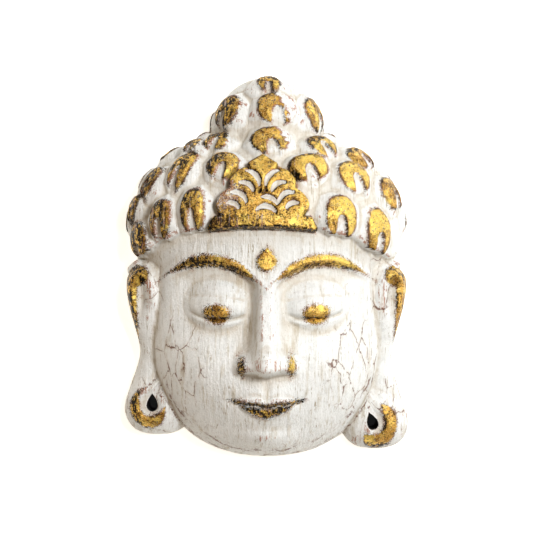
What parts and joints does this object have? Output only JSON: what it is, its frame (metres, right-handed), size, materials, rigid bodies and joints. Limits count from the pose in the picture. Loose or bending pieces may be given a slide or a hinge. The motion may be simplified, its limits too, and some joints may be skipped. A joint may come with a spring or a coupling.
{
  "type": "buddha mask",
  "caption": "Carved wooden face mask of a calm Buddha with curled hair, topknot, leafy crown and long pierced ear lobes, flat and hollow behind.",
  "frame": {"origin": "middle of the mask's outline, on the sawn back that it lies on", "axes": "+Z out of the back, the way the face looks; +Y from the chin to the topknot; +X to the right of someone who looks at the face"},
  "size_m": [0.1499, 0.1999, 0.0722],
  "materials": {
    "whitewashed_wood": "matte white wash with rubbed gold on the curls, crown, brows, lids, lips and ears"
  },
  "bodies": {
    "root": {"buddha_mask": "whitewashed_wood"}
  },
  "joints": []
}
